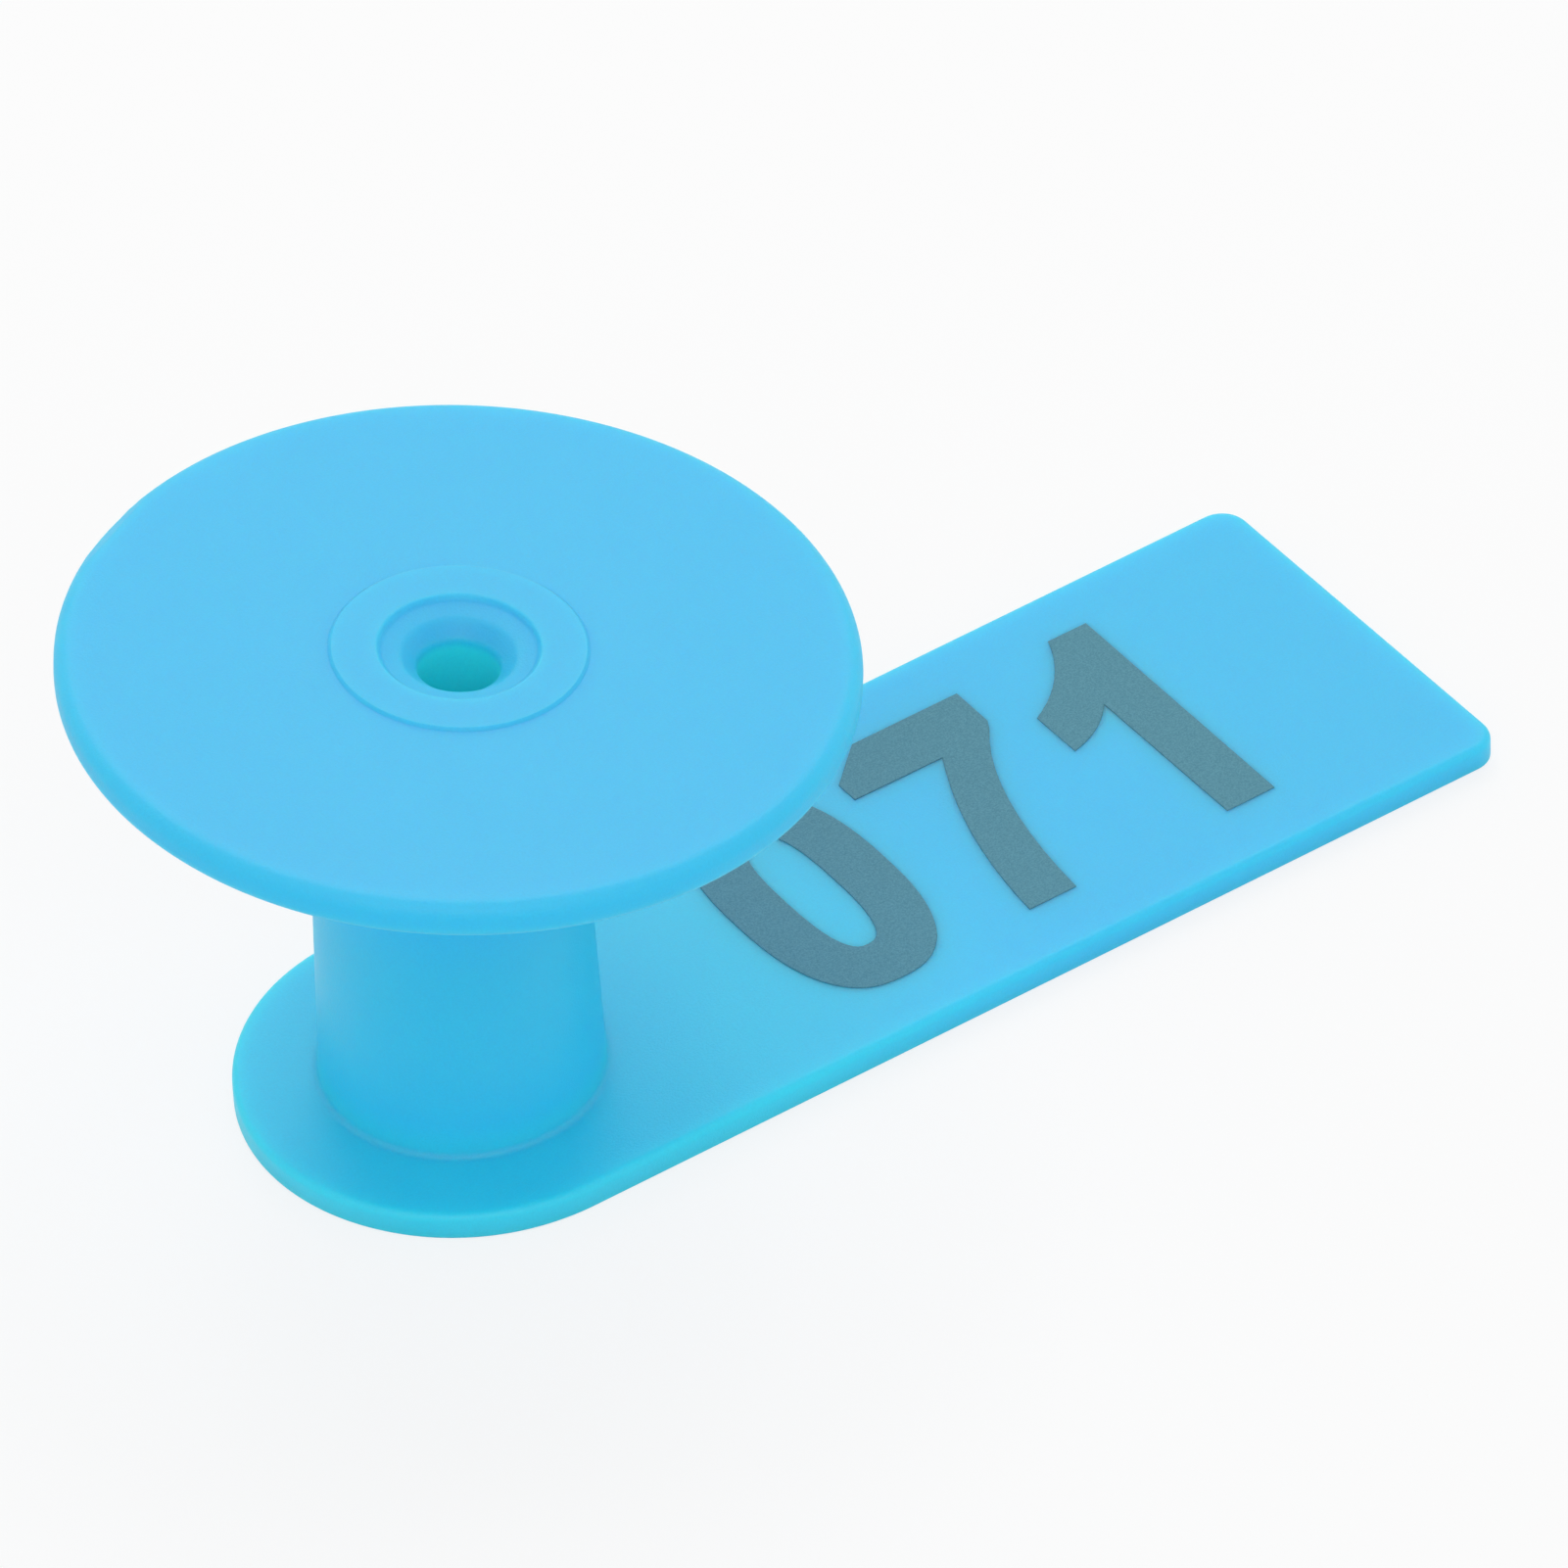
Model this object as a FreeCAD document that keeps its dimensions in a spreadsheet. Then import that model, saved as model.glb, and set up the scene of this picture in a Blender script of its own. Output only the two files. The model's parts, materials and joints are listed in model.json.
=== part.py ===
"""Two-piece livestock ear tag: a number flag with a hub, and a button stud locked in the hub.

Frame: the origin is on the hub's axis at the flag's underside, +X runs along the flag to its
square end, and +Z rises through the hub to the button. Lengths are millimetres, angles degrees.
"""
import FreeCAD, Part
import math
import os

import Sketcher

# Driving dimensions: name, value, what it measures.
DIMENSIONS = (
    ("flag_length", 52.1, "round end to square end"),
    ("flag_width", 17.75, "diameter of the flag's round end"),
    ("flag_flare", 0.25, "angle by which each side spreads towards the square end"),
    ("flag_thickness", 1.25, "of the panel, and of the floor under the hub"),
    ("flag_corner_radius", 1.2, "the two corners of the square end"),
    ("flag_edge_radius", 0.3, "rounding of the panel's upper edge"),
    ("flag_edge_bevel", 0.2, "bevel of the panel's lower edge"),
    ("hub_radius", 5.21, "outside of the hub at its mouth"),
    ("hub_draft", 1.65, "angle by which the hub widens towards the panel"),
    ("hub_height", 13.0, "underside of the flag to the hub's mouth"),
    ("hub_root_radius", 0.3, "fillet where the hub meets the panel"),
    ("hub_rim_bevel", 0.3, "bevel of the mouth's outer edge"),
    ("lip_length", 2.5, "depth of the lip that holds the stud's head"),
    ("lead_in", 0.8, "bevel that guides the point into the mouth"),
    ("neck_clearance", 0.5, "gap between the lip and the neck, all round"),
    ("head_clearance", 0.5, "gap between the head and the chamber wall, all round"),
    ("shoulder_gap", 0.55, "gap between the head's shoulder and the lip"),
    ("point_gap", 0.5, "gap between the point and the chamber floor"),
    ("ear_gap", 7.2, "hub's mouth to the button's underside, where the ear is held"),
    ("button_radius", 15.15, "outside of the button"),
    ("button_thickness", 1.55, "of the button near its rim"),
    ("button_edge_radius", 0.6, "rounding of the button's rim"),
    ("boss_radius", 4.8, "raised ring land in the middle of the button"),
    ("boss_rise", 0.12, "height of the ring land"),
    ("sink_radius", 3.1, "mouth of the countersink"),
    ("sink_step_depth", 0.2, "steep step from the ring land down to the countersink's seat"),
    ("sink_step_inset", 0.15, "how far that step leans in"),
    ("funnel_radius", 2.2, "inner edge of the seat, where the funnel begins"),
    ("funnel_top_depth", 0.42, "ring land down to the top of the funnel"),
    ("funnel_edge_radius", 0.3, "rounding between the seat and the funnel"),
    ("sink_depth", 1.0, "ring land down to the foot of the funnel"),
    ("pin_bore_radius", 1.57, "blind bore for the applicator's pin"),
    ("neck_radius", 2.7, "neck where it passes the lip"),
    ("neck_root_radius", 3.2, "neck at the button's underside"),
    ("neck_fillet_radius", 1.2, "fillet between the neck and the button"),
    ("head_radius", 3.7, "widest part of the stud's head"),
    ("head_land", 0.6, "straight band round the head below its shoulder"),
    ("head_edge_bevel", 0.12, "bevel of the head's shoulder"),
    ("nose_radius", 0.5, "flat left on the point"),
    ("nose_edge_bevel", 0.3, "bevel round the point"),
    ("spigot_radius", 2.05, "shank of the head inside the neck"),
    ("spigot_length", 3.0, "length of that shank"),
    ("groove_depth", 0.3, "retaining groove round the shank"),
    ("groove_width", 0.8, "width of the groove"),
    ("spigot_clearance", 0.03, "gap between the shank and the neck, beside it and above it"),
    ("pivot_depth", 4.0, "hub's mouth down to the point that the loose stud leans about"),
    ("lean_angle", 4.1, "how far the loose stud leans in the hub"),
    ("lean_heading", -18.0, "direction of the lean, from +X towards +Y"),
)

# Levels and radii worked out from the sheet. The stud's levels are counted along its own axis
# from the pivot, where that axis crosses the hub's.
MOUTH_RADIUS = "(sizes.neck_radius + sizes.neck_clearance)"
CHAMBER_RADIUS = "(sizes.head_radius + sizes.head_clearance)"
CHAMBER_TOP = "(sizes.hub_height - sizes.lip_length)"
HUB_FOOT_RADIUS = "(sizes.hub_radius + sizes.hub_height * tan(sizes.hub_draft * 1 deg))"
PIVOT_HEIGHT = "(sizes.hub_height - sizes.pivot_depth)"
BUTTON_UNDERSIDE = "(sizes.pivot_depth + sizes.ear_gap)"
BUTTON_TOP = f"({BUTTON_UNDERSIDE} + sizes.button_thickness)"
BOSS_TOP = f"({BUTTON_TOP} + sizes.boss_rise)"
FUNNEL_TOP = f"({BOSS_TOP} - sizes.funnel_top_depth)"
SHOULDER = "(sizes.pivot_depth - sizes.lip_length - sizes.shoulder_gap)"
SPIGOT_TOP = f"({SHOULDER} + sizes.spigot_length)"
GROOVE_LOW = f"({SHOULDER} + (sizes.spigot_length - sizes.groove_width) / 2)"
GROOVE_HIGH = f"({GROOVE_LOW} + sizes.groove_width)"
GROOVE_RADIUS = "(sizes.spigot_radius - sizes.groove_depth)"
NOSE = f"(sizes.flag_thickness + sizes.point_gap - {PIVOT_HEIGHT})"

ON_AXIS = "0"
ORIGIN = (-1, 1)  # the sketch's origin: the start of its horizontal axis
AXIS_EDGE = {axis: -number for number, axis in enumerate(("x", "y"), start=1)}
POINT = {name: number for number, name in enumerate(("edge", "start", "end", "centre"))}
TOLERANCE = 1e-4
RIM_FLATS = 3

doc = FreeCAD.newDocument("ear_tag")


def fill_sheet():
    """Put every driving dimension in its own named cell."""
    sheet = doc.addObject("Spreadsheet::Sheet", "sizes")
    for row, (name, value, meaning) in enumerate(DIMENSIONS, start=1):
        sheet.set(f"A{row}", name)
        sheet.set(f"B{row}", str(value))
        sheet.set(f"C{row}", meaning)
        sheet.setAlias(f"B{row}", name)
    doc.recompute()
    return sheet


sheet = fill_sheet()


def amount(expression):
    """The present value of an expression, in millimetres or degrees."""
    found = sheet.evalExpression(expression)
    return float(getattr(found, "Value", found))


def new_body(label):
    body = doc.addObject("PartDesign::Body", label)
    body.Label = label
    return body


def new_sketch(body, name, plane_role):
    """A sketch on one of the body's own origin planes."""
    sketch = body.newObject("Sketcher::SketchObject", name)
    plane = next(item for item in body.Origin.OriginFeatures if item.Role == plane_role)
    sketch.AttachmentSupport = [(plane, "")]
    sketch.MapMode = "FlatFace"
    return sketch


def tie(sketch, constraint, expression):
    """Add a dimension to the sketch and bind it to the sheet."""
    index = sketch.addConstraint(constraint)
    sketch.setExpression(f"Constraints[{index}]", expression)


def join(sketch, kind, edge, following):
    """Constrain the end of one edge to the start of the next."""
    sketch.addConstraint(
        Sketcher.Constraint(kind, edge, POINT["end"], following, POINT["start"]))


def tie_start(sketch, edge, across, up):
    """Place the start of an edge at two expressions; '0' means on the axis."""
    end = POINT["start"]
    if across == ON_AXIS:
        sketch.addConstraint(Sketcher.Constraint("PointOnObject", edge, end, AXIS_EDGE["y"]))
    else:
        span = Sketcher.Constraint("DistanceX", *ORIGIN, edge, end, amount(across))
        tie(sketch, span, across)
    if up == ON_AXIS:
        sketch.addConstraint(Sketcher.Constraint("PointOnObject", edge, end, AXIS_EDGE["x"]))
    else:
        rise = Sketcher.Constraint("DistanceY", *ORIGIN, edge, end, amount(up))
        tie(sketch, rise, up)


def draw_profile(sketch, corners):
    """A closed outline through corners, each a pair of expressions (across, up)."""
    points = [FreeCAD.Vector(amount(across), amount(up), 0) for across, up in corners]
    count = len(points)
    for index in range(count):
        sketch.addGeometry(Part.LineSegment(points[index], points[(index + 1) % count]))
    for index in range(count):
        following = (index + 1) % count
        join(sketch, "Coincident", index, following)
    for index, (across, up) in enumerate(corners):
        tie_start(sketch, index, across, up)


def revolve(body, name, corners, kind="Revolution"):
    """Turn a profile, drawn beside the vertical axis, right round that axis."""
    sketch = new_sketch(body, f"{name}_profile", "XZ_Plane")
    draw_profile(sketch, corners)
    feature = body.newObject(f"PartDesign::{kind}", name)
    feature.Profile = sketch
    feature.ReferenceAxis = (sketch, ["V_Axis"])
    feature.Angle = 360
    doc.recompute()
    return feature


def hollow(body, name, corners):
    """Revolve a profile out of the body, and make sure that it removes material."""
    before = body.Shape.Volume
    feature = revolve(body, name, corners, "Groove")
    if body.Shape.Volume >= before:
        raise RuntimeError(f"{name} removed nothing")
    return feature


def ring_edges(feature, level, radius):
    """Names of the circular edges at a level whose radius is the one given."""
    names = []
    for index, edge in enumerate(feature.Shape.Edges, start=1):
        curve = edge.Curve
        if not isinstance(curve, Part.Circle):
            continue
        centred = abs(curve.Center.x) < TOLERANCE and abs(curve.Center.y) < TOLERANCE
        at_level = abs(curve.Center.z - level) < TOLERANCE
        if centred and at_level and abs(curve.Radius - radius) < TOLERANCE:
            names.append(f"Edge{index}")
    return names


def dress_edges(body, name, base, edge_names, kind, size):
    """Fillet or bevel the named edges of the body's latest feature."""
    if not edge_names:
        raise RuntimeError(f"{name} found no edge to dress")
    dressing = body.newObject(f"PartDesign::{kind}", name)
    dressing.Base = (base, edge_names)
    dressing.setExpression("Radius" if kind == "Fillet" else "Size", size)
    doc.recompute()
    return dressing


def fillet(body, name, base, edge_names, radius):
    return dress_edges(body, name, base, edge_names, "Fillet", radius)


def bevel(body, name, base, edge_names, size):
    return dress_edges(body, name, base, edge_names, "Chamfer", size)


def draw_panel(sketch):
    """The flag's outline: a round end about the hub's axis and a square end with soft corners."""
    half = amount("sizes.flag_width") / 2
    corner = amount("sizes.flag_corner_radius")
    reach = amount("sizes.flag_length") - half
    up = FreeCAD.Vector(0, 0, 1)
    quarter = math.pi / 2
    points = {
        "low": FreeCAD.Vector(0, -half, 0),
        "low_corner": FreeCAD.Vector(reach - corner, -half, 0),
        "end_low": FreeCAD.Vector(reach, corner - half, 0),
        "end_high": FreeCAD.Vector(reach, half - corner, 0),
        "high_corner": FreeCAD.Vector(reach - corner, half, 0),
        "high": FreeCAD.Vector(0, half, 0),
    }
    low_centre = FreeCAD.Vector(reach - corner, corner - half, 0)
    high_centre = FreeCAD.Vector(reach - corner, half - corner, 0)
    round_end = sketch.addGeometry(
        Part.ArcOfCircle(Part.Circle(FreeCAD.Vector(), up, half), quarter, 3 * quarter))
    low_side = sketch.addGeometry(Part.LineSegment(points["low"], points["low_corner"]))
    low_arc = sketch.addGeometry(
        Part.ArcOfCircle(Part.Circle(low_centre, up, corner), 3 * quarter, 4 * quarter))
    square_end = sketch.addGeometry(Part.LineSegment(points["end_low"], points["end_high"]))
    high_arc = sketch.addGeometry(
        Part.ArcOfCircle(Part.Circle(high_centre, up, corner), 0, quarter))
    high_side = sketch.addGeometry(Part.LineSegment(points["high_corner"], points["high"]))
    around = (round_end, low_side, low_arc, square_end, high_arc, high_side)
    for edge, following in zip(around, around[1:] + around[:1]):
        join(sketch, "Tangent", edge, following)
    centred = Sketcher.Constraint("Coincident", round_end, POINT["centre"], *ORIGIN)
    sketch.addConstraint(centred)
    sketch.addConstraint(Sketcher.Constraint("Vertical", square_end))
    sketch.addConstraint(Sketcher.Constraint("Equal", low_side, high_side))
    sketch.addConstraint(Sketcher.Constraint("Equal", low_arc, high_arc))
    flare = -math.radians(amount("sizes.flag_flare"))
    tie(sketch, Sketcher.Constraint("Angle", low_side, flare), "-sizes.flag_flare * 1 deg")
    tie(sketch, Sketcher.Constraint("Radius", round_end, half), "sizes.flag_width / 2")
    tie(sketch, Sketcher.Constraint("Radius", low_arc, corner), "sizes.flag_corner_radius")
    far = Sketcher.Constraint("DistanceX", *ORIGIN, square_end, POINT["start"], reach)
    tie(sketch, far, "sizes.flag_length - sizes.flag_width / 2")


def outline_edges(feature, level):
    """Names of the edges that lie flat at a level."""
    names = []
    for index, edge in enumerate(feature.Shape.Edges, start=1):
        box = edge.BoundBox
        if abs(box.ZMin - level) < TOLERANCE and abs(box.ZMax - level) < TOLERANCE:
            names.append(f"Edge{index}")
    return names


def build_number_flag():
    """Soft moulding: flat panel, hub with an undercut socket, and a closed floor."""
    body = new_body("number_flag")
    outline = new_sketch(body, "panel_outline", "XY_Plane")
    draw_panel(outline)
    panel = body.newObject("PartDesign::Pad", "panel")
    panel.Profile = outline
    panel.setExpression("Length", "sizes.flag_thickness")
    doc.recompute()
    upper = outline_edges(panel, amount("sizes.flag_thickness"))
    rounded = fillet(body, "upper_edge", panel, upper, "sizes.flag_edge_radius")
    lower = outline_edges(rounded, 0)
    bevel(body, "lower_edge", rounded, lower, "sizes.flag_edge_bevel")

    revolve(body, "hub", (
        (ON_AXIS, ON_AXIS),
        (HUB_FOOT_RADIUS, ON_AXIS),
        ("sizes.hub_radius", "sizes.hub_height"),
        (ON_AXIS, "sizes.hub_height"),
    ))
    socket = hollow(body, "socket", (
        (ON_AXIS, "sizes.flag_thickness"),
        (CHAMBER_RADIUS, "sizes.flag_thickness"),
        (CHAMBER_RADIUS, CHAMBER_TOP),
        (MOUTH_RADIUS, CHAMBER_TOP),
        (MOUTH_RADIUS, "sizes.hub_height - sizes.lead_in"),
        (f"{MOUTH_RADIUS} + sizes.lead_in", "sizes.hub_height"),
        (ON_AXIS, "sizes.hub_height"),
    ))
    thickness = amount("sizes.flag_thickness")
    root = amount(f"{HUB_FOOT_RADIUS} - sizes.flag_thickness * tan(sizes.hub_draft * 1 deg)")
    root_edge = ring_edges(socket, thickness, root)
    rooted = fillet(body, "hub_root", socket, root_edge, "sizes.hub_root_radius")
    mouth_edge = ring_edges(rooted, amount("sizes.hub_height"), amount("sizes.hub_radius"))
    bevel(body, "hub_rim", rooted, mouth_edge, "sizes.hub_rim_bevel")
    return body


def rim_corner(face_level, side):
    """Corners that round the button's rim in flats, from its face to its outside.

    face_level is the face that the rounding meets; side is 1 above it and -1 below.
    """
    corners = []
    for step in range(RIM_FLATS + 1):
        turn = f"{90 * step / RIM_FLATS:.0f} deg"
        inset = f"sizes.button_edge_radius * (1 - sin({turn}))"
        drop = f"sizes.button_edge_radius * (1 - cos({turn}))"
        level = f"{face_level} - {drop}" if side > 0 else f"{face_level} + {drop}"
        corners.append((f"sizes.button_radius - {inset}", level))
    return corners


def build_button_stud():
    """Soft moulding: button with a ring land and stepped countersink, on a hollow neck."""
    body = new_body("button_stud")
    solid = revolve(body, "button_and_neck", (
        (ON_AXIS, SHOULDER),
        ("sizes.neck_radius", SHOULDER),
        ("sizes.neck_radius", "sizes.pivot_depth"),
        ("sizes.neck_root_radius", BUTTON_UNDERSIDE),
        *rim_corner(BUTTON_UNDERSIDE, -1),
        *reversed(rim_corner(BUTTON_TOP, 1)),
        ("sizes.boss_radius + sizes.boss_rise", BUTTON_TOP),
        ("sizes.boss_radius", BOSS_TOP),
        (ON_AXIS, BOSS_TOP),
    ))
    root = ring_edges(solid, amount(BUTTON_UNDERSIDE), amount("sizes.neck_root_radius"))
    fillet(body, "neck_root", solid, root, "sizes.neck_fillet_radius")
    sunk = hollow(body, "countersink", (
        (ON_AXIS, f"{BOSS_TOP} - sizes.sink_depth"),
        ("sizes.pin_bore_radius", f"{BOSS_TOP} - sizes.sink_depth"),
        ("sizes.funnel_radius", FUNNEL_TOP),
        ("sizes.sink_radius - sizes.sink_step_inset", f"{BOSS_TOP} - sizes.sink_step_depth"),
        ("sizes.sink_radius", BOSS_TOP),
        (ON_AXIS, BOSS_TOP),
    ))
    edge = ring_edges(sunk, amount(FUNNEL_TOP), amount("sizes.funnel_radius"))
    fillet(body, "funnel_edge", sunk, edge, "sizes.funnel_edge_radius")
    hollow(body, "pin_bore", (
        (ON_AXIS, SPIGOT_TOP),
        ("sizes.pin_bore_radius", SPIGOT_TOP),
        ("sizes.pin_bore_radius", f"{BOSS_TOP} - sizes.sink_depth"),
        (ON_AXIS, f"{BOSS_TOP} - sizes.sink_depth"),
    ))
    gap = "sizes.spigot_clearance"
    hollow(body, "shank_seat", (
        (ON_AXIS, SHOULDER),
        (f"sizes.spigot_radius + {gap}", SHOULDER),
        (f"sizes.spigot_radius + {gap}", f"{GROOVE_LOW} + {gap}"),
        (f"{GROOVE_RADIUS} + {gap}", f"{GROOVE_LOW} + {gap}"),
        (f"{GROOVE_RADIUS} + {gap}", f"{GROOVE_HIGH} - {gap}"),
        (f"sizes.spigot_radius + {gap}", f"{GROOVE_HIGH} - {gap}"),
        (f"sizes.spigot_radius + {gap}", f"{SPIGOT_TOP} + {gap}"),
        (ON_AXIS, f"{SPIGOT_TOP} + {gap}"),
    ))
    return body


def build_stud_tip():
    """Turned metal head: pointed cone, locking shoulder and a grooved shank inside the neck."""
    body = new_body("stud_tip")
    cone = revolve(body, "head_and_shank", (
        (ON_AXIS, NOSE),
        ("sizes.nose_radius", NOSE),
        ("sizes.head_radius", f"{SHOULDER} - sizes.head_land"),
        ("sizes.head_radius", SHOULDER),
        ("sizes.spigot_radius", SHOULDER),
        ("sizes.spigot_radius", GROOVE_LOW),
        (GROOVE_RADIUS, GROOVE_LOW),
        (GROOVE_RADIUS, GROOVE_HIGH),
        ("sizes.spigot_radius", GROOVE_HIGH),
        ("sizes.spigot_radius", SPIGOT_TOP),
        (ON_AXIS, SPIGOT_TOP),
    ))
    nose = ring_edges(cone, amount(NOSE), amount("sizes.nose_radius"))
    nosed = bevel(body, "nose", cone, nose, "sizes.nose_edge_bevel")
    shoulder = ring_edges(nosed, amount(SHOULDER), amount("sizes.head_radius"))
    bevel(body, "shoulder", nosed, shoulder, "sizes.head_edge_bevel")
    return body


def lean(body):
    """Set a stud piece on the pivot, leaning by the sheet's angle and heading."""
    body.setExpression("Placement.Base.z", PIVOT_HEIGHT)
    body.setExpression("Placement.Rotation.Axis.x", "-sin(sizes.lean_heading * 1 deg)")
    body.setExpression("Placement.Rotation.Axis.y", "cos(sizes.lean_heading * 1 deg)")
    body.setExpression("Placement.Rotation.Axis.z", "0")
    body.setExpression("Placement.Rotation.Angle", "sizes.lean_angle * 1 deg")


def check_document(bodies):
    """Stop before anything is written if a feature failed or a solid is not sound."""
    for item in doc.Objects:
        if "Invalid" in item.State or "Error" in item.State:
            raise RuntimeError(f"{item.Name} failed: {item.State}")
    for body in bodies:
        if body.Shape.isNull() or not body.Shape.isValid():
            raise RuntimeError(f"{body.Label} has no valid shape")
        if len(body.Shape.Solids) != 1:
            raise RuntimeError(f"{body.Label} is not one solid")


number_flag = build_number_flag()
button_stud = build_button_stud()
stud_tip = build_stud_tip()
lean(button_stud)
lean(stud_tip)
doc.recompute()

pieces = (number_flag, button_stud, stud_tip)
check_document(pieces)
os.makedirs("parts", exist_ok=True)
for piece in pieces:
    piece.Shape.exportStep(f"parts/{piece.Label}.step")
    box = piece.Shape.BoundBox
    print(f"{piece.Label}: volume {piece.Shape.Volume:.2f} mm3,"
          f" x {box.XMin:.2f} to {box.XMax:.2f}, y {box.YMin:.2f} to {box.YMax:.2f},"
          f" z {box.ZMin:.2f} to {box.ZMax:.2f}")
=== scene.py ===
"""Looks of the two-piece livestock ear tag: soft mouldings, metal head, marked digits."""

import json
import math

import bmesh
import bpy
from mathutils import Matrix, Vector


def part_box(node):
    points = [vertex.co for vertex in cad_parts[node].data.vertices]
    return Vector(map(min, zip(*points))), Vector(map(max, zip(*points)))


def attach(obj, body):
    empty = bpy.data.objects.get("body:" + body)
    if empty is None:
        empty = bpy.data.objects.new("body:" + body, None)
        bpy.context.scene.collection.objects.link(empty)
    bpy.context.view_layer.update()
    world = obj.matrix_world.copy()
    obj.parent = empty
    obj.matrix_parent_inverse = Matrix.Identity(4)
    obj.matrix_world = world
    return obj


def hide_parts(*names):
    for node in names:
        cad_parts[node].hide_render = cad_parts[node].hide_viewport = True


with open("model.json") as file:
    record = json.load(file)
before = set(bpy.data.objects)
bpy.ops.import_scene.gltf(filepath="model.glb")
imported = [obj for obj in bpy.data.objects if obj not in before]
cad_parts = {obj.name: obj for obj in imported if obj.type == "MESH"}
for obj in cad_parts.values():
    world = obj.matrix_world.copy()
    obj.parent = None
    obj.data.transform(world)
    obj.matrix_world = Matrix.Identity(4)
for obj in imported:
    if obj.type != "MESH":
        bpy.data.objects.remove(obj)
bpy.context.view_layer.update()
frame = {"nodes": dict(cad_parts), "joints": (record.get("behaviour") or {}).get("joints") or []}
swivel = frame["joints"][0]

MM = 0.001
FULL_TURN = 2 * math.pi

# ---------------------------------------------------------------- sizes, in millimetres
flag_low, flag_high = (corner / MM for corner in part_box("number_flag"))
ROUND_END = -flag_low[0]                 # radius of the flag's round end, on the hub's axis
REACH = flag_high[0]                     # hub's axis to the square end
HUB_HEIGHT = flag_high[2]
FLARE = math.radians(0.25)               # each side spreads towards the square end
PANEL = 1.25                             # panel thickness, and the socket's floor
CORNER = 1.2
UPPER_EDGE = 0.3
LOWER_BEVEL = 0.2
HUB_MOUTH = 5.21
HUB_DRAFT = math.radians(1.65)
HUB_ROOT = 0.3
HUB_BEVEL = 0.3
LIP = 2.5
LEAD_IN = 0.8
MOUTH = 3.2
CHAMBER = 4.2

PIVOT_DEPTH = HUB_HEIGHT - swivel["pos_m"][2] / MM
NECK = 2.7
NECK_ROOT = 3.2
NECK_FILLET = 1.2
SHOULDER = PIVOT_DEPTH - LIP - 0.55      # the head's shoulder, along the stud from its pivot
UNDERSIDE = PIVOT_DEPTH + 7.2            # the button's underside
BUTTON = 15.15
BUTTON_THICK = 1.55
BUTTON_EDGE = 0.6
BOSS = 4.8
BOSS_RISE = 0.12
SINK = 3.1
SINK_STEP = (2.95, 0.2)                  # foot of the countersink's step: radius, depth
FUNNEL = (2.2, 0.42)                     # where the funnel begins: radius, depth
SINK_DEPTH = 1.0
PIN_BORE = 1.57
SEAT = 2.08                              # socket for the head's shank, in the neck's end
SEAT_LENGTH = 3.03
SEAT_RIB = 1.78                          # rib of plastic that fills the shank's groove
SEAT_RIB_ENDS = (1.13, 1.87)             # where the rib lies, from the neck's end
GATE_HEADING = 117.6                     # degrees round the button from +X
GATE_SLOPE = 50                          # the flat faces outwards and this far up
GATE_CUT = 0.12                          # depth clipped from the rim's rounding
GATE_REACH = 2.5                         # nothing farther from the cut's middle is clipped

HOLD = 0.06                              # loop that keeps flat faces flat beside a rounding
ROUND_END_STEPS = 96
CORNER_STEPS = 12
EDGE_STEPS = 8
HUB_SEGMENTS = 160
BUTTON_SEGMENTS = 480
FLOOR_CENTRE = 0.4                       # last ring of the socket's floor, closed by one face


# ---------------------------------------------------------------- profiles and meshes
def rounded(corners, steps=6):
    """Round a closed outline: corners are (x, y, radius); a radius of 0 stays sharp."""
    points = []
    count = len(corners)
    for index, (x, y, radius) in enumerate(corners):
        here = Vector((x, y))
        if radius == 0:
            points.append(here)
            continue
        before = Vector(corners[index - 1][:2]) - here
        after = Vector(corners[(index + 1) % count][:2]) - here
        half = before.angle(after) / 2
        reach = radius / math.tan(half)
        start = here + before.normalized() * reach
        middle = here + (before.normalized() + after.normalized()).normalized() * (
            radius / math.sin(half))
        turn = (start - middle).angle_signed(here + after.normalized() * reach - middle)
        for step in range(steps + 1):
            spoke = start - middle
            spoke.rotate(Matrix.Rotation(-turn * step / steps, 2))
            points.append(middle + spoke)
    return points


def held(points, closed=True):
    """Add a point close to each end of every long straight stretch."""
    result = []
    count = len(points)
    for index, here in enumerate(points):
        result.append(here)
        if not closed and index == count - 1:
            break
        there = points[(index + 1) % count]
        span = there - here
        if span.length > 8 * HOLD:
            result.append(here + span.normalized() * HOLD)
            result.append(there - span.normalized() * HOLD)
    return result


def ring(mesh, radius, level, segments):
    return [mesh.verts.new((radius * math.cos(FULL_TURN * step / segments),
                            radius * math.sin(FULL_TURN * step / segments), level))
            for step in range(segments)]


def bridge(mesh, first, second):
    count = len(first)
    for index in range(count):
        following = (index + 1) % count
        mesh.faces.new((first[index], first[following], second[following], second[index]))


def finished(mesh, name, material, place=None, sharp_degrees=40):
    """Turn millimetre geometry into a smooth-shaded object in metres."""
    bmesh.ops.recalc_face_normals(mesh, faces=mesh.faces)
    mesh.transform(Matrix.Scale(MM, 4))
    if place is not None:
        mesh.transform(place)
    data = bpy.data.meshes.new(name)
    mesh.to_mesh(data)
    mesh.free()
    data.shade_smooth()
    data.set_sharp_from_angle(angle=math.radians(sharp_degrees))
    data.materials.append(material)
    piece = bpy.data.objects.new(name, data)
    bpy.context.scene.collection.objects.link(piece)
    return piece


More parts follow.
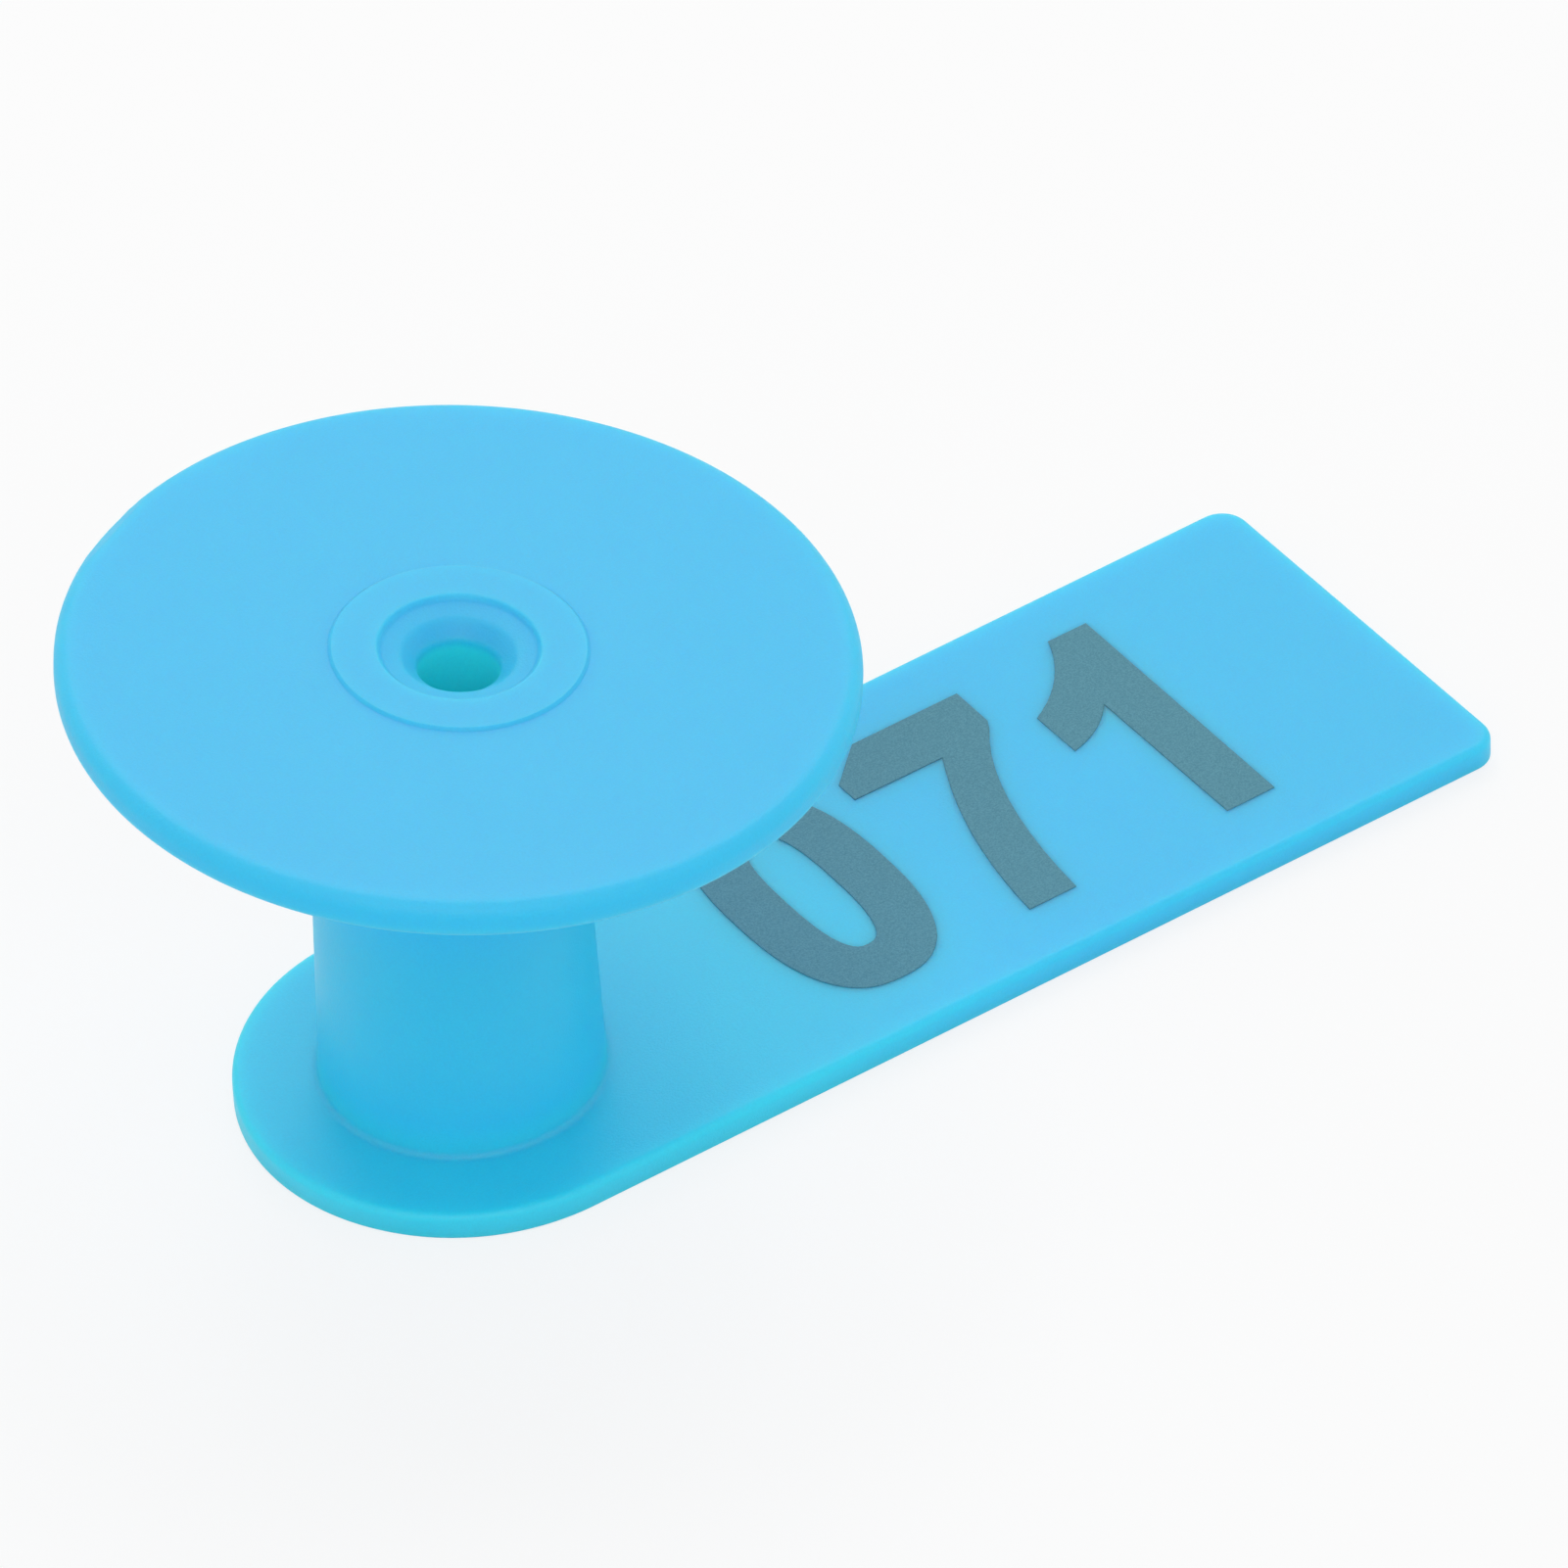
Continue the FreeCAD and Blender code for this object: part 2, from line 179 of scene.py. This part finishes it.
# ---------------------------------------------------------------- shader expressions
class Field:
    """A socket of a node tree that can be used in Python arithmetic."""

    def __init__(self, shade, socket):
        self.shade = shade
        self.socket = socket

    def math(self, operation, *others):
        return self.shade.math(operation, self, *others)

    def __add__(self, other):
        return self.math("ADD", other)

    __radd__ = __add__

    def __sub__(self, other):
        return self.math("SUBTRACT", other)

    def __rsub__(self, other):
        return self.shade.math("SUBTRACT", other, self)

    def __mul__(self, other):
        return self.math("MULTIPLY", other)

    __rmul__ = __mul__


class Shade:
    """A material with one Principled shader, filled by expressions."""

    def __init__(self, name):
        self.material = bpy.data.materials.new(name)
        self.material.use_nodes = True
        self.tree = self.material.node_tree
        self.principled = self.tree.nodes["Principled BSDF"]
        self.place = self.node("ShaderNodeTexCoord", {}, output="Object")

    def node(self, kind, settings, *values, output=0, **named):
        """Add a node, set it up, then fill its sockets by order or by name."""
        made = self.tree.nodes.new(kind)
        for setting, value in settings.items():
            setattr(made, setting, value)
        places = [(made.inputs[index], value) for index, value in enumerate(values)]
        places += [(made.inputs[name.replace("_", " ")], value)
                   for name, value in named.items()]
        for socket, value in places:
            if isinstance(value, Field):
                self.tree.links.new(value.socket, socket)
            else:
                socket.default_value = value
        return Field(self, made.outputs[output])

    def math(self, operation, *values):
        return self.node("ShaderNodeMath", {"operation": operation}, *values)

    def vector(self, operation, *values, output=0):
        return self.node("ShaderNodeVectorMath", {"operation": operation}, *values,
                         output=output)

    def noise(self, scale, detail=2.0, roughness=0.5):
        """Noise about 0.5, with scale in features per metre."""
        return self.node("ShaderNodeTexNoise", {}, Vector=self.place, Scale=scale,
                         Detail=detail, Roughness=roughness)

    def blend(self, factor, first, second):
        """Mix two colours by a factor."""
        made = self.tree.nodes.new("ShaderNodeMix")
        made.data_type = "RGBA"
        for socket, value in ((made.inputs[0], factor), (made.inputs[6], first),
                              (made.inputs[7], second)):
            if isinstance(value, Field):
                self.tree.links.new(value.socket, socket)
            else:
                socket.default_value = value
        return Field(self, made.outputs[2])

    def tone(self, colour, factor):
        """A colour times a plain factor."""
        return self.node("ShaderNodeVectorMath", {"operation": "SCALE"}, colour, Scale=factor)

    def fade(self, value, none, full):
        """A smooth step: 0 where value is none, 1 where it is full."""
        return self.node("ShaderNodeMapRange", {"interpolation_type": "SMOOTHSTEP"}, value,
                         none, full)

    def set(self, **values):
        for name, value in values.items():
            socket = self.principled.inputs[name.replace("_", " ")]
            if isinstance(value, Field):
                self.tree.links.new(value.socket, socket)
            else:
                socket.default_value = value

    def bump(self, height, distance, strength=1.0):
        normal = self.node("ShaderNodeBump", {}, Strength=strength, Distance=distance,
                           Height=height)
        self.set(Normal=normal)


def rgb(red, green, blue):
    """A linear colour with full alpha."""
    return (red, green, blue, 1.0)


def soft_blue_plastic(name, base, painted_light_colour, painted_light_mask):
    """Sky-blue soft plastic with a fine grain, and painted light: where the given mask is 1 its
    colour turns to a second given colour.
    """
    shade = Shade(name)
    clouds = shade.noise(260.0, detail=3.0)
    grain = shade.noise(11000.0, detail=3.0, roughness=0.7)
    # painted light: the second colour paints a teal shade cast round the hub on the flag, and a
    # glow on the walls of the stud's pin bore
    with_painted_light = shade.blend(painted_light_mask(shade), base, painted_light_colour)
    shade.set(Base_Color=shade.tone(with_painted_light, 0.90 + clouds * 0.03 + grain * 0.17),
              Roughness=0.44 + (grain - 0.5) * 0.3, IOR=1.5, Specular_IOR_Level=0.42,
              Subsurface_Weight=1.0, Subsurface_Radius=(0.35, 1.0, 0.9),
              Subsurface_Scale=0.0015)
    shade.bump(grain, 0.00003, 0.6)
    return shade.material


def near_the_hub(shade):
    """Mask of painted shade: 1 on the panel round the hub, where shade falls under the button,
    fading to 0 out along the panel and up the hub.
    """
    across = shade.vector("MULTIPLY", shade.place, (1, 1, 0))
    reach = shade.vector("LENGTH", across, output=1)
    height = shade.node("ShaderNodeSeparateXYZ", {}, shade.place, output=2)
    low_down = shade.fade(height, 0.003, 0.0015)
    return shade.fade(reach, 0.026, 0.010) * (0.3 + 0.7 * low_down)


def inside_the_bore(shade):
    """Mask of painted light: 1 in the pin bore, whose walls are painted glowing, fading to 0 up
    the funnel.
    """
    axis = tuple(swivel["axis"])
    offset = shade.vector("SUBTRACT", shade.place, tuple(swivel["pos_m"]))
    radius = shade.vector("LENGTH", shade.vector("CROSS_PRODUCT", offset, axis), output=1)
    along = shade.vector("DOT_PRODUCT", offset, axis, output=1)
    land = (UNDERSIDE + BUTTON_THICK + BOSS_RISE) * MM
    deep = shade.fade(along, land - 0.8 * MM, land - 1.5 * MM)
    return deep * shade.fade(radius, 0.0021, 0.0017)


def laser_mark():
    """Dark grey marked digits: duller than the plastic, grainy, with a few pale specks that are
    painted glints.
    """
    shade = Shade("laser_mark")
    grain = shade.noise(13000.0, detail=3.0, roughness=0.7)
    ink = shade.blend(shade.fade(grain, 0.25, 0.75), rgb(0.035, 0.19, 0.26),
                      rgb(0.085, 0.30, 0.385))
    # painted glints: a few pale specks scattered at random over the mark
    cells = shade.node("ShaderNodeTexVoronoi", {}, Vector=shade.place, Scale=900.0)
    chance = shade.node("ShaderNodeTexVoronoi", {}, Vector=shade.place, Scale=900.0, output=1)
    painted_glints = shade.fade(cells, 0.10, 0.05) * shade.math("GREATER_THAN", chance, 0.82)
    shade.set(Base_Color=shade.blend(painted_glints, ink, rgb(0.45, 0.7, 0.75)), Roughness=0.55,
              IOR=1.45)
    shade.bump(grain, 0.00003, 0.8)
    return shade.material


def turned_brass():
    """Bright turned metal of the stud's head."""
    shade = Shade("turned_brass")
    rings = shade.noise(5000.0, detail=1.0)
    shade.set(Base_Color=rgb(0.68, 0.46, 0.16), Metallic=1.0,
              Roughness=0.22 + rings * 0.12)
    shade.bump(rings, 0.000004, 0.5)
    return shade.material


# ---------------------------------------------------------------- the number flag
def outline(inset, level, mesh):
    """One loop round the flag, drawn in from its widest outline by an inset."""
    points = []
    end_half = ROUND_END / math.cos(FLARE) + REACH * math.tan(FLARE)
    lean = math.pi / 2 + FLARE
    for step in range(ROUND_END_STEPS + 1):
        angle = lean + (FULL_TURN - 2 * lean) * step / ROUND_END_STEPS
        points.append(Vector((math.cos(angle), math.sin(angle))) * (ROUND_END - inset))
    soft = max(CORNER - inset, 0.05)
    centre = Vector((REACH - CORNER, end_half - CORNER * (1 + math.tan(FLARE))))
    for step in range(CORNER_STEPS + 1):
        angle = -lean + lean * step / CORNER_STEPS
        points.append(Vector((centre.x + soft * math.cos(angle),
                              -centre.y + soft * math.sin(angle))))
    for step in range(CORNER_STEPS + 1):
        angle = lean * step / CORNER_STEPS
        points.append(Vector((centre.x + soft * math.cos(angle),
                              centre.y + soft * math.sin(angle))))
    return [mesh.verts.new((point.x, point.y, level)) for point in points]


def fill_between(mesh, *loops):
    """Fill a flat face whose borders are the loops."""
    edges = []
    for loop in loops:
        for index, vert in enumerate(loop):
            pair = (vert, loop[(index + 1) % len(loop)])
            edges.append(mesh.edges.get(pair) or mesh.edges.new(pair))
    bmesh.ops.triangle_fill(mesh, edges=edges, use_beauty=True, use_dissolve=False)


def hub_profile():
    """The hub's section from the panel over the mouth and down the socket to its floor."""
    foot = HUB_MOUTH + (HUB_HEIGHT - PANEL) * math.tan(HUB_DRAFT)
    top = HUB_HEIGHT
    under_lip = top - LIP
    corners = (
        (foot + 2 * HUB_ROOT, PANEL, 0),
        (foot, PANEL, HUB_ROOT),
        (HUB_MOUTH, top, HUB_BEVEL),
        (MOUTH + LEAD_IN, top, 0.1),
        (MOUTH, top - LEAD_IN, 0.2),
        (MOUTH, under_lip, 0.05),
        (CHAMBER, under_lip, 0.05),
        (CHAMBER, PANEL, 0.1),
        (FLOOR_CENTRE, PANEL, 0),
    )
    return held(rounded(corners), closed=False)


def build_flag(material):
    mesh = bmesh.new()
    levels = [(LOWER_BEVEL + HOLD, 0.0), (LOWER_BEVEL, 0.0), (0.0, LOWER_BEVEL),
              (0.0, LOWER_BEVEL + HOLD), (0.0, PANEL - UPPER_EDGE - HOLD)]
    for step in range(EDGE_STEPS + 1):
        angle = math.pi / 2 * step / EDGE_STEPS
        levels.append((UPPER_EDGE * (1 - math.cos(angle)),
                       PANEL - UPPER_EDGE * (1 - math.sin(angle))))
    levels.append((UPPER_EDGE + HOLD, PANEL))
    loops = [outline(inset, level, mesh) for inset, level in levels]
    for lower, upper in zip(loops, loops[1:]):
        bridge(mesh, lower, upper)
    rings = [ring(mesh, point.x, point.y, HUB_SEGMENTS) for point in hub_profile()]
    for outer, inner in zip(rings, rings[1:]):
        bridge(mesh, outer, inner)
    mesh.faces.new(rings[-1])
    fill_between(mesh, loops[-1], rings[0])
    fill_between(mesh, loops[0])
    return finished(mesh, "flag_moulding", material)


# ---------------------------------------------------------------- the button stud
def stud_place():
    """Where the stud stands: leaning about its pivot in the hub."""
    axis = Vector(swivel["axis"]).normalized()
    turn = Vector((0, 0, 1)).rotation_difference(axis).to_matrix().to_4x4()
    return Matrix.Translation(Vector(swivel["pos_m"])) @ turn


def button_profile():
    """The stud's closed section: neck, button, ring land, countersink, bore and seat."""
    top = UNDERSIDE + BUTTON_THICK
    land = top + BOSS_RISE
    corners = (
        (SEAT, SHOULDER, 0),
        (NECK, SHOULDER, 0.08),
        (NECK, PIVOT_DEPTH, 0),
        (NECK_ROOT, UNDERSIDE, NECK_FILLET),
        (BUTTON, UNDERSIDE, BUTTON_EDGE),
        (BUTTON, top, BUTTON_EDGE),
        (BOSS + BOSS_RISE, top, 0.06),
        (BOSS, land, 0.06),
        (SINK, land, 0.16),
        (SINK_STEP[0], land - SINK_STEP[1], 0.3),
        (FUNNEL[0], land - FUNNEL[1], 0.6),
        (PIN_BORE, land - SINK_DEPTH, 0.35),
        (PIN_BORE, SHOULDER + SEAT_LENGTH, 0),
        (SEAT, SHOULDER + SEAT_LENGTH, 0),
        (SEAT, SHOULDER + SEAT_RIB_ENDS[1], 0),
        (SEAT_RIB, SHOULDER + SEAT_RIB_ENDS[1], 0),
        (SEAT_RIB, SHOULDER + SEAT_RIB_ENDS[0], 0),
        (SEAT, SHOULDER + SEAT_RIB_ENDS[0], 0),
    )
    return held(rounded(corners, steps=8))


def clip_rim(mesh):
    """The small flat left where the button was clipped from its runner."""
    heading = math.radians(GATE_HEADING)
    slope = math.radians(GATE_SLOPE)
    outward = Vector((math.cos(heading) * math.cos(slope), math.sin(heading) * math.cos(slope),
                      math.sin(slope)))
    radius = BUTTON - BUTTON_EDGE
    centre = Vector((math.cos(heading) * radius, math.sin(heading) * radius,
                     UNDERSIDE + BUTTON_THICK - BUTTON_EDGE))
    for vert in mesh.verts:
        beyond = (vert.co - centre).dot(outward) - (BUTTON_EDGE - GATE_CUT)
        if beyond > 0 and (vert.co - centre).length < GATE_REACH:
            vert.co -= outward * beyond


def build_button(material):
    mesh = bmesh.new()
    rings = [ring(mesh, point.x, point.y, BUTTON_SEGMENTS) for point in button_profile()]
    for outer, inner in zip(rings, rings[1:] + rings[:1]):
        bridge(mesh, outer, inner)
    clip_rim(mesh)
    return finished(mesh, "stud_moulding", material, stud_place())


# ---------------------------------------------------------------- the marked digits
MARK_EDGE = 0.035                        # rounding of a mark's edge
MARK_RISE = 0.04


def superellipse(centre, half_width, half_height, power, count=72):
    """Points round a squared-off oval."""
    points = []
    for step in range(count):
        angle = FULL_TURN * step / count
        cosine, sine = math.cos(angle), math.sin(angle)
        points.append((
            centre[0] + half_width * math.copysign(abs(cosine) ** (2 / power), cosine),
            centre[1] + half_height * math.copysign(abs(sine) ** (2 / power), sine)))
    return points


def arc_through(start, middle, end, steps=10):
    """Points after start, up to end, on a smooth bend that passes near middle."""
    a, b, c = Vector(start), Vector(middle), Vector(end)
    pull = b * 2 - (a + c) / 2
    points = []
    for step in range(1, steps + 1):
        t = step / steps
        points.append(tuple(a * (1 - t) ** 2 + pull * 2 * t * (1 - t) + c * t * t))
    return points


def digit_zero():
    middle = (16.28, -0.06)
    return [superellipse(middle, 3.47, 6.27, 2.5), superellipse(middle, 1.13, 3.9, 2.6, 48)]


def digit_seven():
    return [[(22.62, 6.08), (27.7, 6.08), (27.7, 4.0), (27.5, 3.6)]
            + arc_through((27.5, 3.6), (25.57, -0.4), (24.66, -6.12))
            + [(22.42, -6.12)]
            + arc_through((22.42, -6.12), (23.24, -1.15), (24.98, 3.26))
            + [(20.78, 3.28), (20.78, 4.38)]]


def digit_one():
    return [[(32.42, 6.46), (34.28, 6.46), (34.28, -6.08), (31.98, -6.08), (31.93, 2.0)]
            + arc_through((31.93, 2.0), (30.78, 0.98), (29.36, 0.42))
            + [(29.33, 2.93)]
            + arc_through((29.33, 2.93), (31.25, 4.42), (32.42, 6.46))]


def build_digit(name, outlines, material):
    """A mark raised a little from the panel, with a rounded edge."""
    curve = bpy.data.curves.new(name, "CURVE")
    curve.dimensions = "2D"
    curve.fill_mode = "BOTH"
    curve.extrude = (MARK_RISE - MARK_EDGE) * MM
    curve.bevel_depth = MARK_EDGE * MM
    curve.bevel_resolution = 2
    curve.offset = -MARK_EDGE * MM
    for points in outlines:
        spline = curve.splines.new("POLY")
        spline.points.add(len(points) - 1)
        for place, (x, y) in zip(spline.points, points):
            place.co = (x * MM, y * MM, 0, 1)
        spline.use_cyclic_u = True
    source = bpy.data.objects.new(name, curve)
    bpy.context.scene.collection.objects.link(source)
    data = bpy.data.meshes.new_from_object(
        source.evaluated_get(bpy.context.evaluated_depsgraph_get()))
    bpy.data.objects.remove(source)
    data.name = name
    data.transform(Matrix.Translation((0, 0, PANEL * MM)))
    data.materials.clear()
    data.materials.append(material)
    piece = bpy.data.objects.new(name, data)
    bpy.context.scene.collection.objects.link(piece)
    return piece


# ---------------------------------------------------------------- camera, floor and light
CAMERA_AZIMUTH = math.radians(-33.45)
LIT_SPOT = Vector((0.01, 0.0, 0.01))
BOX_DISTANCE = 0.45
LOW_LIGHT = 1.25                         # world strength near the horizon
HIGH_LIGHT = 0.22                        # and overhead
FLOOR_WHITE = 0.8                        # how far the floor is lifted to white where seen
CAMERA_HEIGHT = math.radians(40.8)
CAMERA_ROLL = math.radians(-2.578)
CAMERA_DISTANCE = 0.5394
CAMERA_TARGET = Vector((0.019935, 0.006977, 0.0))


def direction(azimuth, rise):
    """A unit vector away from the tag, turned from -Y and raised."""
    return Vector((math.sin(azimuth) * math.cos(rise), -math.cos(azimuth) * math.cos(rise),
                   math.sin(rise)))


def build_camera():
    """A long lens at the height and side from which the tag is shown."""
    back = direction(CAMERA_AZIMUTH, CAMERA_HEIGHT)
    right = Vector((math.cos(CAMERA_AZIMUTH), math.sin(CAMERA_AZIMUTH), 0))
    up = back.cross(right)
    turned_right = right * math.cos(CAMERA_ROLL) + up * math.sin(CAMERA_ROLL)
    turned_up = up * math.cos(CAMERA_ROLL) - right * math.sin(CAMERA_ROLL)
    pose = Matrix((turned_right, turned_up, back)).transposed().to_4x4()
    pose.translation = CAMERA_TARGET + back * CAMERA_DISTANCE
    data = bpy.data.cameras.new("camera")
    data.sensor_width = 36.0
    data.lens = 314.8
    data.clip_start = 0.01
    data.clip_end = 20.0
    camera = bpy.data.objects.new("camera", data)
    camera.matrix_world = pose
    bpy.context.scene.collection.objects.link(camera)
    bpy.context.scene.camera = camera


def seen_white(tree):
    """1 for rays from the camera, in reflections and through clear things; else 0."""
    path = tree.nodes.new("ShaderNodeLightPath")
    total = path.outputs["Is Camera Ray"]
    for name in ("Is Glossy Ray", "Is Transmission Ray"):
        join = tree.nodes.new("ShaderNodeMath")
        join.operation = "MAXIMUM"
        tree.links.new(total, join.inputs[0])
        tree.links.new(path.outputs[name], join.inputs[1])
        total = join.outputs[0]
    return total


def build_floor():
    """Pale floor that shows white and keeps a soft shadow."""
    bpy.ops.mesh.primitive_plane_add(size=6.0, location=(0, 0, 0))
    floor = bpy.context.active_object
    floor.name = "floor"
    material = bpy.data.materials.new("pale_floor")
    material.use_nodes = True
    tree = material.node_tree
    principled = tree.nodes["Principled BSDF"]
    principled.inputs["Base Color"].default_value = rgb(0.9, 0.9, 0.9)
    principled.inputs["Roughness"].default_value = 0.9
    principled.inputs["Specular IOR Level"].default_value = 0.0
    glow = tree.nodes.new("ShaderNodeEmission")
    glow.inputs["Color"].default_value = rgb(1, 1, 1)
    mix = tree.nodes.new("ShaderNodeMixShader")
    share = tree.nodes.new("ShaderNodeMath")
    share.operation = "MULTIPLY"
    share.inputs[1].default_value = FLOOR_WHITE
    tree.links.new(seen_white(tree), share.inputs[0])
    tree.links.new(share.outputs[0], mix.inputs["Fac"])
    tree.links.new(principled.outputs[0], mix.inputs[1])
    tree.links.new(glow.outputs[0], mix.inputs[2])
    tree.links.new(mix.outputs[0], tree.nodes["Material Output"].inputs["Surface"])
    floor.data.materials.append(material)


def build_world():
    """Pale all-round light, a little brighter low down than overhead; white where it is seen."""
    world = bpy.data.worlds.new("studio")
    bpy.context.scene.world = world
    world.use_nodes = True
    tree = world.node_tree
    background = tree.nodes["Background"]
    background.inputs["Color"].default_value = rgb(1, 1, 1)
    sight = tree.nodes.new("ShaderNodeTexCoord")
    split = tree.nodes.new("ShaderNodeSeparateXYZ")
    tree.links.new(sight.outputs["Generated"], split.inputs[0])
    height = tree.nodes.new("ShaderNodeMapRange")
    height.inputs["To Min"].default_value = LOW_LIGHT
    height.inputs["To Max"].default_value = HIGH_LIGHT
    tree.links.new(split.outputs["Z"], height.inputs["Value"])
    strength = tree.nodes.new("ShaderNodeMix")
    strength.inputs["B"].default_value = 1.0
    tree.links.new(seen_white(tree), strength.inputs["Factor"])
    tree.links.new(height.outputs[0], strength.inputs["A"])
    tree.links.new(strength.outputs[0], background.inputs["Strength"])


def camera_box(name, turn, height, size, power):
    """A square softbox: turned from the camera's side to its right, and raised, in degrees."""
    data = bpy.data.lights.new(name, "AREA")
    data.size = size
    data.energy = power
    lamp = bpy.data.objects.new(name, data)
    away = direction(CAMERA_AZIMUTH + math.radians(turn), math.radians(height))
    lamp.location = LIT_SPOT + away * BOX_DISTANCE
    lamp.rotation_euler = away.to_track_quat("Z", "Y").to_euler()
    bpy.context.scene.collection.objects.link(lamp)


# ---------------------------------------------------------------- assembly
scene = bpy.context.scene
scene.view_settings.view_transform = "Standard"

# the flag's second colour is painted shade: a teal cast in the shade round the hub, under the
# button
flag_plastic = soft_blue_plastic("flag_plastic", rgb(0.038, 0.56, 0.93),
                                 rgb(0.038, 0.65, 0.87), near_the_hub)
# the stud's second colour is painted light: a pale green glow on the pin bore's walls
stud_plastic = soft_blue_plastic("stud_plastic", rgb(0.036, 0.545, 0.85),
                                 rgb(0.06, 0.85, 0.96), inside_the_bore)
mark = laser_mark()
brass = turned_brass()

flag = build_flag(flag_plastic)
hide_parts("number_flag")
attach(flag, "flag")

button = build_button(stud_plastic)
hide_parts("button_stud")
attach(button, "stud")

tip = frame["nodes"]["stud_tip"]
tip.material_slots[0].material = brass

for digit_name, digit_outlines in (("digit_zero", digit_zero()), ("digit_seven", digit_seven()),
                                   ("digit_one", digit_one())):
    digit = build_digit(digit_name, digit_outlines, mark)
    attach(digit, "flag")

build_camera()
build_floor()
build_world()
camera_box("front_box", 0, 50, 0.25, 0.38)
camera_box("back_box", 180, 45, 0.25, 0.36)
camera_box("left_top_box", -148, 63, 0.12, 0.16)
camera_box("right_top_box", 148, 63, 0.12, 0.16)
